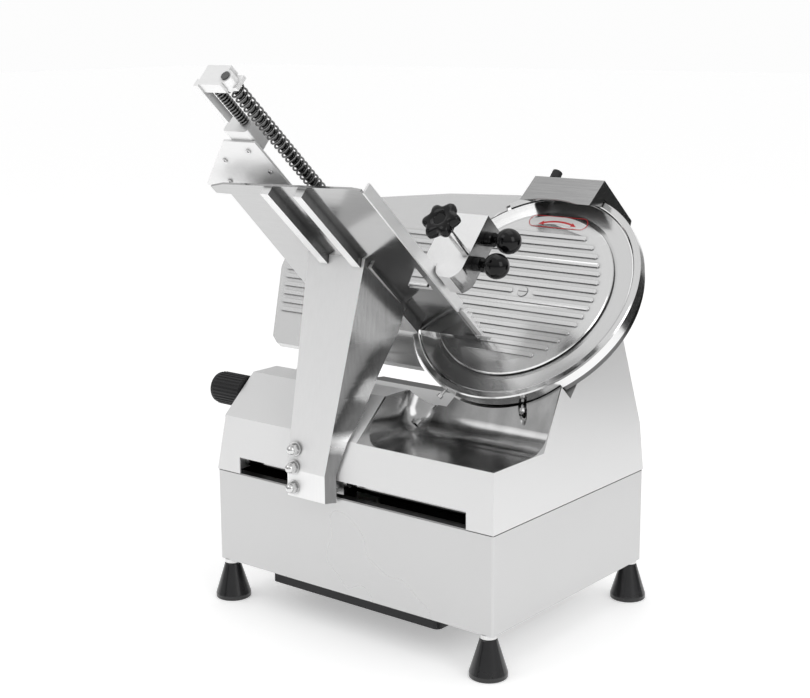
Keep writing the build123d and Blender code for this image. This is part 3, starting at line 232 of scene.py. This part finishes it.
def brushed_metal(name, tone, roughness, stretch, spread=0.05, depth=0.00001, metallic=1.0):
    """Metal brushed along the axis with the smallest stretch."""
    made = Finish(name, grey(tone), roughness, metallic)
    lines = made.grain(stretch, 3.0)
    cloud = made.grain((9.0, 9.0, 9.0))
    shown = made.blend(lines, rgba(grey(tone - spread)), rgba(grey(min(1.0, tone + spread))))
    # the base colour carries painted shade in narrow corners
    made.feed("Base Color", made.darken(shown, made.painted_crevice_shade(0.006, 0.35)))
    made.feed("Roughness", lines * 0.12 + cloud * 0.08 + (roughness - 0.1))
    made.bump(lines, depth)
    return made.material


def painted_side_metal(name, tone, painted_side_tone, roughness, side_roughness, stretch, towards=ACROSS):
    """Satin aluminium whose faces towards one side are polished and carry a painted dark reflection and
    shade in their base colour.
    """
    made = Finish(name, grey(tone), roughness, 1.0)
    lines = made.grain(stretch, 3.0)
    normal = made.node("TexCoord", output="Normal")
    facing = made.vector("DOT_PRODUCT", normal, tuple(towards), 1)
    side = made.node("MapRange", None, {0: facing, 1: 0.15, 2: 0.4})
    satin = made.blend(lines, rgba(grey(tone - 0.03)), rgba(grey(tone + 0.03)))
    # the base colour holds a painted dark reflection and shade on the faces towards one side, and painted
    # shade in narrow corners
    painted_dark_side = made.blend(lines, rgba(grey(painted_side_tone - 0.04)), rgba(grey(painted_side_tone + 0.04)))
    made.feed("Base Color", made.darken(made.blend(side, satin, painted_dark_side), made.painted_crevice_shade(0.006, 0.35)))
    made.feed("Metallic", side * 0.55 + 0.45)
    made.feed("Roughness", side * (side_roughness - roughness) + lines * 0.06 + (roughness - 0.03))
    made.bump(lines, 0.000008)
    return made.material


def turned_metal(name, tone, roughness, per_metre=900.0, depth=0.00002):
    """Metal finished on a lathe around the blade's axle."""
    made = Finish(name, grey(tone), roughness, 1.0)
    marks = made.rings(per_metre)
    shown = made.blend(marks, rgba(grey(tone - 0.06)), rgba(grey(min(1.0, tone + 0.04))))
    # the base colour carries painted shade in narrow corners
    made.feed("Base Color", made.darken(shown, made.painted_crevice_shade(0.007, 0.1)))
    made.feed("Roughness", marks * 0.14 + (roughness - 0.07))
    made.bump(marks, depth)
    return made.material


def casing_metal(name, tone, roughness, metallic, scooped):
    """Satin sheet, painted black as shade within the INNER box, with the hollow under the blade polished.
    """
    made = Finish(name, grey(tone), roughness, metallic)
    speck = made.grain(grey(1400.0))
    cloud = made.grain(grey(5.0))
    where = made.place()
    x, y, z = (made.part(where, axis) for axis in range(3))
    # 1 within the INNER box, where the sheet is painted near black as shade and loses its metal
    painted_inside_shade = 1.0
    for spot, low, high in zip((x, y, z), INNER[0], INNER[1]):
        painted_inside_shade = painted_inside_shade * (spot > low) * (spot < high)
    shown = made.blend(cloud, rgba(grey(tone - 0.03)), rgba(grey(tone + 0.02)))
    dull = cloud * 0.06 + (roughness - 0.03)
    if scooped:
        lean = y - (z - SHELF_Z) * SCOOP_LEAN
        scoop = (z > SHELF_Z - 0.0006) * (x > SCOOP_X) * (lean < SCOOP_Y)
        streak = made.grain((60.0, 8.0, 30.0), 3.0)
        shown = made.blend(scoop, shown, made.blend(streak, rgba(grey(0.30)), rgba(grey(0.52))))
        dull = made.node("Mix", None, {0: scoop, 2: dull, 3: streak * 0.08 + 0.14})
        metallic = scoop * (1.0 - metallic) + metallic
    made.feed("Roughness", dull)
    # painted shade in narrow corners
    shown = made.darken(shown, made.painted_crevice_shade(0.005, 0.3))
    made.feed("Base Color", made.blend(painted_inside_shade, shown, rgba(grey(0.02))))
    made.feed("Metallic", (1.0 - painted_inside_shade) * metallic)
    made.bump(speck, 0.000004)
    return made.material


def moulded(name, colour, roughness, texture=700.0, depth=0.00003, coat=0.0):
    """A moulded surface with a fine skin."""
    made = Finish(name, colour, roughness, 0.0, coat)
    skin = made.grain(grey(texture), 2.0)
    wear = made.grain(grey(25.0), 3.0)
    toned(made, wear, [c * 0.8 for c in colour], [min(1.0, c * 1.25) for c in colour])
    made.feed("Roughness", wear * 0.12 + (roughness - 0.06))
    made.bump(skin, depth)
    return made.material


lower_low, lower_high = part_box("lower_housing")
lower_middle = (lower_low + lower_high) / 2
WALL = 0.0019
# the shelf's top, and how far below it the casing's box of painted black shade ends
SHELF_Z = 0.260
SHELF_DEPTH = 0.006
# all casing sheet in this box is painted black as shade: the shell's inside, and also the outer back and
# left faces of the upper casing, which lean into the box
INNER = (
    lower_low + Vector((WALL, WALL, WALL)),
    Vector((lower_high.x - WALL, lower_high.y - WALL, SHELF_Z - SHELF_DEPTH)),
)
# the polished hollow's left edge, the foot of its back wall, and that wall's lean
SCOOP_X = lower_middle.x + 0.0192
SCOOP_Y = lower_middle.y - 0.0685
SCOOP_LEAN = 0.494

FINISHES = {
    "satin_white": casing_metal("casing_satin", 0.78, 0.34, 0.35, True),
    "anodised": brushed_metal(
        "anodised_satin", 0.86, 0.34, (40.0, 40.0, 700.0), 0.03, 0.00001, 0.5
    ),
    "polished": brushed_metal("polished_sheet", 0.54, 0.13, (25.0, 300.0, 500.0), 0.04, 0.000004),
    "blade_steel": turned_metal("blade_ground", 0.80, 0.18),
    "bolt_steel": brushed_metal("bolt_bright", 0.74, 0.20, (500.0, 500.0, 500.0), 0.05),
    "black_plastic": moulded("black_moulding", (0.018, 0.018, 0.019), 0.42),
    "gloss_black": moulded("gloss_knob", (0.003, 0.003, 0.0033), 0.13, 60.0, 0.00001),
    "black_rubber": moulded("foot_rubber", (0.012, 0.012, 0.013), 0.26, 300.0, 0.00003, 0.25),
    "dark_paint": moulded("pan_paint", (0.022, 0.022, 0.024), 0.38),
    "label_white": moulded("badge_white", (0.82, 0.81, 0.80), 0.35, 900.0, 0.000004, 0.3),
    "stone": moulded("abrasive_stone", (0.34, 0.30, 0.27), 0.85, 1800.0, 0.00025),
    "board_green": moulded("board_lacquer", (0.02, 0.14, 0.06), 0.35),
    "belt_rubber": moulded("belt_skin", (0.02, 0.02, 0.02), 0.62),
    "start_green": moulded("start_cap", (0.03, 0.38, 0.10), 0.30, 500.0, 0.00002, 0.4),
    "stop_red": moulded("stop_cap", (0.55, 0.02, 0.02), 0.30, 500.0, 0.00002, 0.4),
    "spring_steel": brushed_metal("spring_wire", 0.20, 0.22, (600.0, 600.0, 600.0), 0.08),
}
TURNED = turned_metal("cover_turned", 0.82, 0.17, 700.0, 0.000004)
DRUM = turned_metal("drum_side", 0.16, 0.24, 500.0, 0.00001)
GAUGE = brushed_metal("gauge_satin", 0.72, 0.22, (30.0, 600.0, 600.0), 0.03, 0.000005, 0.8)
# block_cast, clamp_cast, rail_bar and arm_cast take their second tone as a painted dark reflection and
# shade on their faces towards one side
BLOCK = painted_side_metal("block_cast", 0.92, 0.05, 0.34, 0.3, (40.0, 40.0, 400.0), -OUT)
CLAMP = painted_side_metal("clamp_cast", 0.92, 0.42, 0.3, 0.2, (300.0, 300.0, 40.0), ACROSS)
ROD_STEEL = brushed_metal("rod_dark", 0.16, 0.22, (500.0, 500.0, 500.0), 0.04)
RAIL = painted_side_metal("rail_bar", 0.9, 0.16, 0.34, 0.16, (300.0, 300.0, 30.0))
RING = turned_metal("ring_polished", 0.80, 0.13, 500.0, 0.00001)
SHEET = casing_metal("lower_sheet", 0.64, 0.28, 0.6, False)
HOOD = brushed_metal("hood_brushed", 0.42, 0.24, (30.0, 500.0, 500.0), 0.05)
ARM = painted_side_metal("arm_cast", 0.94, 0.20, 0.36, 0.16, (300.0, 300.0, 30.0))
PLAIN = {
    "lower_housing": SHEET,
    "carriage_arm": ARM,
    "table_rails": RAIL,
    "pusher_rod": ROD_STEEL,
    "sharpener_hood": HOOD,
    "blade_cover": TURNED,
    "blade_housing": DRUM,
    "gauge_plate": GAUGE,
    "pusher_top_block": BLOCK,
    "clamp_block": CLAMP,
    "ring_guard": RING,
}

# black surfaces give back less of the pale room
BLACK_SHEEN = 0.28
for name in ("gloss_black", "black_plastic", "dark_paint"):
    Tree(FINISHES[name].node_tree, "Principled BSDF").feed("Specular IOR Level", BLACK_SHEEN)

for name, node in frame["nodes"].items():
    for spot in node.material_slots:
        spot.material = PLAIN.get(name) or FINISHES[spot.material.name.split(".")[0]]


def rounded(name, width, steps=3):
    """Breaks a node's sharp edges, as a pressed or cast part has them."""
    node = frame["nodes"][name]
    weld = node.modifiers.new("weld", "WELD")
    weld.merge_threshold = 0.00002
    edge = node.modifiers.new("edge", "BEVEL")
    edge.width = width * MM
    edge.segments = steps
    edge.limit_method = "ANGLE"
    edge.angle_limit = math.radians(35.0)
    edge.harden_normals = True


rounded("blade_cover", 1.5)
rounded("gauge_plate", 1.6)
rounded("clamp_block", 2.0)
rounded("pusher_top_block", 1.5)
rounded("pusher_hub", 1.2)


# ---------------------------------------------------------------- mesh makers


def piece(name, points, faces, finish, body, slot, smooth=True):
    """A mesh that rides on a body."""
    mesh = bpy.data.meshes.new(name)
    mesh.from_pydata(points, [], faces)
    mesh.validate()
    made = bpy.data.objects.new(name, mesh)
    bpy.context.scene.collection.objects.link(made)
    mesh.materials.append(finish)
    for face in mesh.polygons:
        face.use_smooth = smooth
    if smooth:
        mesh.set_sharp_from_angle(angle=SHARP_TURN)
    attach(made, body)
    return made


def across_of(axis):
    """Two directions square to an axis."""
    side = axis.cross(Vector((0.0, 0.0, 1.0)))
    if side.length < 0.1:
        side = axis.cross(Vector((1.0, 0.0, 0.0)))
    side.normalize()
    return side, axis.cross(side).normalized()


def loft(rings, closed_ends=True):
    """Points and faces that join loops of the same length one after another."""
    count = len(rings[0])
    points = [point for ring in rings for point in ring]
    faces = []
    for level in range(len(rings) - 1):
        start = level * count
        for i in range(count):
            j = (i + 1) % count
            faces.append((start + i, start + j, start + count + j, start + count + i))
    if closed_ends:
        faces.append(tuple(range(count - 1, -1, -1)))
        faces.append(tuple(range(len(points) - count, len(points))))
    return points, faces


def lathe(origin, axis, profile, sides=48, wave=None):
    """A turned shape: profile is (radius, height) in mm along the axis."""
    side, rise = across_of(axis)
    rings = []
    for radius, height in profile:
        ring = []
        for i in range(sides):
            turn = math.tau * i / sides
            reach = radius * (wave(turn, radius, height) if wave else 1.0) * MM
            spoke = side * (math.cos(turn) * reach) + rise * (math.sin(turn) * reach)
            ring.append(origin + axis * (height * MM) + spoke)
        rings.append(ring)
    return loft(rings)


def coil(start, axis, length, radius, wire, pitch, steps=18, sides=8):
    """A closed tube along a helix, with lengths in mm."""
    side, rise = across_of(axis)
    turns = length / pitch
    count = int(turns * steps)
    rings = []
    for i in range(count + 1):
        share = i / count
        turn = math.tau * turns * share
        spoke = side * math.cos(turn) + rise * math.sin(turn)
        middle = start + axis * (length * share * MM) + spoke * (radius * MM)
        ring = []
        for k in range(sides):
            roll = math.tau * k / sides
            reach = spoke * math.cos(roll) + axis * math.sin(roll)
            ring.append(middle + reach * (wire * MM))
        rings.append(ring)
    return loft(rings)


def joined(parts):
    """Several shapes as one set of points and faces."""
    points, faces = [], []
    for more, shapes in parts:
        start = len(points)
        points += list(more)
        faces += [tuple(start + k for k in face) for face in shapes]
    return points, faces


def socket_screw(origin, axis, radius, height, key=0.5):
    """A cap screw's head with a six-sided socket."""

    def six(turn, reach, level):
        if reach > radius * key * 1.2:
            return 1.0
        sector = turn % (math.pi / 3.0) - math.pi / 6.0
        return math.cos(math.pi / 6.0) / math.cos(sector)

    profile = [
        (radius, 0.0),
        (radius, height * 0.85),
        (radius * 0.92, height),
        (radius * key * 1.25, height),
        (radius * key, height * 0.96),
        (radius * key, height * 0.45),
        (radius * 0.05, height * 0.35),
    ]
    return lathe(origin, axis, profile, 36, six)


# ---------------------------------------------------------------- fine pieces

ROD_A, ROD_B = -155.0, -42.0
SPRING_FROM, SPRING_TO = 43.0, 448.0
SPRING_REACH, SPRING_WIRE, SPRING_PITCH = 8.6, 1.3, 8.4

spring = piece(
    "spring_coil",
    *coil(
        head(ROD_A, ROD_B, SPRING_FROM),
        OUT,
        SPRING_TO - SPRING_FROM,
        SPRING_REACH,
        SPRING_WIRE,
        SPRING_PITCH,
    ),
    FINISHES["spring_steel"],
    "carriage",
    "spring_steel",
)
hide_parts("pusher_spring")
tuple(head(ROD_A, ROD_B, SPRING_FROM))
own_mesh(spring)

STEM_A, STEM_B, STEM_FROM, STEM_TO = -186.0, -42.0, 384.0, 449.0
STEM_CORE = [(4.0, 0.0), (4.0, STEM_TO - STEM_FROM)]
STEM_REACH, STEM_WIRE, STEM_PITCH, STEM_GAP = 5.2, 1.2, 4.4, 1.5
stem = piece(
    "stem_coil",
    *joined(
        [
            lathe(head(STEM_A, STEM_B, STEM_FROM), OUT, STEM_CORE),
            coil(
                head(STEM_A, STEM_B, STEM_FROM + STEM_GAP),
                OUT,
                STEM_TO - STEM_FROM - 2 * STEM_GAP,
                STEM_REACH,
                STEM_WIRE,
                STEM_PITCH,
            ),
        ]
    ),
    FINISHES["spring_steel"],
    "pusher",
    "spring_steel",
)
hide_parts("pusher_stem")

PLATE_FRONT = -60.0
PLATE_SCREWS = [(-193.0, 352.0), (-185.0, 313.0), (-274.0, 286.0), (-249.0, 330.0)]
SCREW_RADIUS, SCREW_HEIGHT = 3.2, 2.2
piece(
    "pusher_plate_screws",
    *joined(
        [
            socket_screw(head(a, PLATE_FRONT, c), -UP, SCREW_RADIUS, SCREW_HEIGHT)
            for a, c in PLATE_SCREWS
        ]
    ),
    FINISHES["bolt_steel"],
    "pusher",
    "bolt_steel",
)

STAR_A, STAR_B = 8.0, -42.0
STAR_FROM = 204.0
LOBES = 6
LOBE_TURN = math.radians(12.0)


def lobed(turn, reach, level):
    """The grip's six rounded lobes, which fade out towards its hub."""
    share = max(0.0, min(1.0, (reach - 10.0) / 10.0))
    return 1.0 + 0.15 * share * (math.cos(LOBES * (turn - LOBE_TURN)) + 0.25)


knob_profile = [
    (5.2, -8.0), (9.0, -8.0), (9.6, -7.0), (9.8, -1.0), (13.0, 0.4), (18.5, 1.6), (20.6, 4.0),
    (21.2, 7.5), (21.0, 11.5), (19.6, 14.4), (17.0, 16.0), (13.0, 16.4), (9.5, 15.4), (7.5, 14.2),
    (7.2, 13.6), (4.0, 13.6), (0.4, 13.7),
]
star = piece(
    "star_grip",
    *lathe(head(STAR_A, STAR_B, STAR_FROM), OUT, knob_profile, 96, lobed),
    FINISHES["gloss_black"],
    "star_knob",
    "gloss_black",
)
piece(
    "star_screw",
    *lathe(
        head(STAR_A, STAR_B, STAR_FROM),
        OUT,
        [(4.6, -60.0), (4.9, -59.0), (4.9, -9.0), (4.9, -7.6)],
        32,
    ),
    FINISHES["bolt_steel"],
    "star_knob",
    "bolt_steel",
)
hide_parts("star_knob")


def flat_shape(outline, out, thick=0.3):
    """A thin plate on the cover's face, from its outline in the head's two directions."""
    count = len(outline)
    points = [head(a, b, out) for a, b in outline] + [head(a, b, out + thick) for a, b in outline]
    faces = [tuple(range(count - 1, -1, -1)), tuple(range(count, 2 * count))]
    for i in range(count):
        j = (i + 1) % count
        faces.append((i, j, count + j, count + i))
    return points, faces


def strip(inner, outer, out, thick=0.3, closed=False):
    """A thin band between two lines with as many points each."""
    rings = []
    for (a0, b0), (a1, b1) in zip(inner, outer):
        lower = [head(a0, b0, out), head(a1, b1, out)]
        upper = [head(a1, b1, out + thick), head(a0, b0, out + thick)]
        rings.append(lower + upper)
    if closed:
        return loft(rings + rings[:1], False)
    return loft(rings)


def arc(centre, radius, start, end, steps=24):
    """Points along a circle, with angles in degrees from the head's up direction."""
    turns = [math.radians(start + (end - start) * i / steps) for i in range(steps + 1)]
    return [(centre[0] + radius * math.sin(t), centre[1] + radius * math.cos(t)) for t in turns]


def pill(centre, length, height):
    """A rounded bar's outline."""
    radius = height / 2
    half = length / 2 - radius
    ends = arc((half, 0.0), radius, 0.0, 180.0) + arc((-half, 0.0), radius, 180.0, 360.0)
    return [(centre[0] + a, centre[1] + b) for a, b in ends]


badge = frame["nodes"]["rotation_label"].data.vertices
badge_face = max((vertex.co - AXLE).dot(OUT) for vertex in badge) / MM
badge_left = min((vertex.co - AXLE).dot(ACROSS) for vertex in badge) / MM
badge_right = max((vertex.co - AXLE).dot(ACROSS) for vertex in badge) / MM
badge_low = min((vertex.co - AXLE).dot(UP) for vertex in badge) / MM
badge_high = max((vertex.co - AXLE).dot(UP) for vertex in badge) / MM
BADGE = ((badge_left + badge_right) / 2, (badge_low + badge_high) / 2)
BADGE_LONG = badge_right - badge_left
BADGE_TALL = badge_high - badge_low
SWEEP = 78.0
SWEEP_RISE = 0.8
SWEEP_CENTRE = (BADGE[0], BADGE[1] - SWEEP + SWEEP_RISE)
# half the bar's width, half the arrow head's width, and the head's length in degrees
BAR_HALF, HEAD_HALF, HEAD_TURN = 1.2, 3.0, 6.0
BORDER_OUTER, BORDER_INNER = 0.2, 1.6
RED = moulded("badge_red", (0.62, 0.02, 0.025), 0.38, 900.0, 0.000004, 0.3)


def arrow_head(angle, way):
    """The triangle at one end of the sweep."""
    end = angle + way * HEAD_TURN
    tip = arc(SWEEP_CENTRE, SWEEP, end, end, 1)[0]
    sides = (-HEAD_HALF, HEAD_HALF)
    base = [arc(SWEEP_CENTRE, SWEEP + side, angle, angle, 1)[0] for side in sides]
    return flat_shape([tip, base[0], base[1]][:: int(way)], badge_face)


HALF_SWEEP = 16.0
piece(
    "rotation_arrow",
    *joined(
        [
            strip(
                arc(SWEEP_CENTRE, SWEEP - BAR_HALF, -HALF_SWEEP, HALF_SWEEP),
                arc(SWEEP_CENTRE, SWEEP + BAR_HALF, -HALF_SWEEP, HALF_SWEEP),
                badge_face,
            ),
            arrow_head(HALF_SWEEP, 1.0),
            arrow_head(-HALF_SWEEP, -1.0),
            strip(
                pill(BADGE, BADGE_LONG - BORDER_INNER, BADGE_TALL - BORDER_INNER),
                pill(BADGE, BADGE_LONG - BORDER_OUTER, BADGE_TALL - BORDER_OUTER),
                badge_face,
                closed=True,
            ),
        ]
    ),
    RED,
    "casing",
    "label_white",
)


# ---------------------------------------------------------------- floor, light and camera


def stage_plane(name, size, colour, roughness, glow):
    bpy.ops.mesh.primitive_plane_add(size=size)
    plane = bpy.context.object
    plane.name = name
    made = Finish(name, colour, roughness)
    made.feed("Emission Color", rgba(colour))
    made.feed("Emission Strength", glow)
    made.bump(made.grain(grey(30.0)), 0.0002)
    plane.data.materials.append(made.material)


stage_plane("studio_floor", 40.0, grey(0.88), 0.6, 0.42)


def softbox(name, at, towards, width, height, power):
    lamp = bpy.data.lights.new(name, "AREA")
    lamp.shape = "RECTANGLE"
    lamp.size = width
    lamp.size_y = height
    lamp.energy = power
    made = bpy.data.objects.new(name, lamp)
    made.location = at
    made.rotation_euler = (Vector(towards) - Vector(at)).to_track_quat("-Z", "Y").to_euler()
    bpy.context.scene.collection.objects.link(made)


middle = (cad_box[0] + cad_box[1]) / 2
softbox("key", middle + Vector((-1.2, -1.9, 2.3)), middle, 1.6, 1.2, 7.0)
softbox("right_fill", middle + Vector((2.6, -0.6, 1.3)), middle, 1.2, 1.8, 13.0)
softbox("top", middle + Vector((0.1, 0.3, 2.5)), middle, 2.2, 1.6, 9.0)


def flag(name, at, towards, width, height):
    """A dark board that gives the polished parts something to reflect."""
    bpy.ops.mesh.primitive_plane_add(size=1.0)
    board = bpy.context.object
    board.name = name
    board.scale = (width, height, 1.0)
    board.location = at
    board.rotation_euler = (Vector(towards) - Vector(at)).to_track_quat("-Z", "Y").to_euler()
    made = Finish(name, grey(0.015), 0.8)
    made.bump(made.grain(grey(40.0)), 0.001)
    board.data.materials.append(made.material)
    board.visible_camera = False
    board.visible_shadow = False
    board.visible_diffuse = False


flag("flag_back", middle + Vector((0.85, 1.05, -0.12)), middle, 1.2, 0.7)
flag("flag_front", middle + Vector((-0.55, -1.5, -0.1)), middle, 0.35, 0.9)

world = bpy.data.worlds.new("studio")
bpy.context.scene.world = world
world.use_nodes = True
sky = Tree(world.node_tree, "Background")
above = sky.part(sky.node("TexCoord", output="Generated"), 2)
SKY_STOPS = [(0.0, 0.2), (0.5, 0.22), (0.72, 0.7), (1.0, 0.8)]
glow = sky.node("ValToRGB", {"stops": SKY_STOPS}, {0: above * 0.5 + 0.5})
seen = sky.node("LightPath", output="Is Camera Ray")
BACKDROP = rgba(grey(0.98))
sky.feed("Color", sky.node("Mix", {"data_type": "RGBA"}, {0: seen, 6: glow, 7: BACKDROP}, 2))
sky.feed("Strength", 1.0)

# where the camera stands, and its right and backward directions
CAMERA_AT = AXLE + Vector((1.0894, -1.6038, 0.3427))
CAMERA_RIGHT = Vector((0.78095, 0.62456, -0.00570))
CAMERA_BACK = Vector((0.61150, -0.76269, 0.21063))
CAMERA_LENS = 67.5
camera = bpy.data.cameras.new("camera")
camera.lens = CAMERA_LENS
camera.sensor_width = 36.0
camera.clip_start = 0.05
camera.clip_end = 100.0
stand = bpy.data.objects.new("camera", camera)
bpy.context.scene.collection.objects.link(stand)
camera_up = CAMERA_BACK.cross(CAMERA_RIGHT).normalized()
turn = Matrix((CAMERA_RIGHT.normalized(), camera_up, CAMERA_BACK.normalized())).transposed()
stand.matrix_world = Matrix.Translation(CAMERA_AT) @ turn.to_4x4()
bpy.context.scene.camera = stand
bpy.context.scene.view_settings.view_transform = "Standard"
